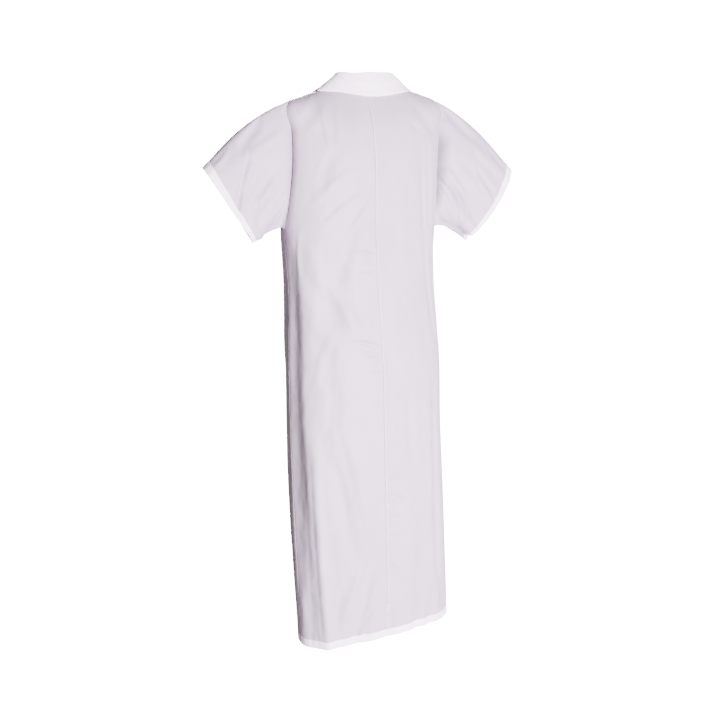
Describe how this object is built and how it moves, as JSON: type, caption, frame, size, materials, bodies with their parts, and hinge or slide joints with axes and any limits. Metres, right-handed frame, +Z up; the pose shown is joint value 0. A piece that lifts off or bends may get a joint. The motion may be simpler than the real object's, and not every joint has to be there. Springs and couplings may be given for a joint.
{
  "type": "medical tunic",
  "caption": "Long, straight medical tunic with short set-in sleeves, a folded collar and a buttoned front, hanging open and hollow as when it is worn.",
  "frame": {"origin": "between the two points where the shoulder seams meet the neckline, on the middle plane of the garment: the shoulders of the wearer hold it up there", "axes": "+Z up, the front with its buttons faces -Y, the back faces +Y, the wearer's left side is +X"},
  "size_m": [0.7577, 0.2275, 1.3408],
  "materials": {
    "white_cloth": "thin white poly-cotton with a faint sheen",
    "collar_cloth": "the same cloth in two pressed layers",
    "button_white": "white plastic"
  },
  "bodies": {
    "root": {"back_left": "white_cloth", "back_right": "white_cloth", "front_left": "white_cloth", "front_right": "white_cloth", "sleeve_left": "white_cloth", "sleeve_right": "white_cloth", "collar": "collar_cloth", "button_1": "button_white", "button_2": "button_white", "button_3": "button_white", "button_4": "button_white", "button_5": "button_white", "button_6": "button_white", "button_7": "button_white"}
  },
  "joints": []
}
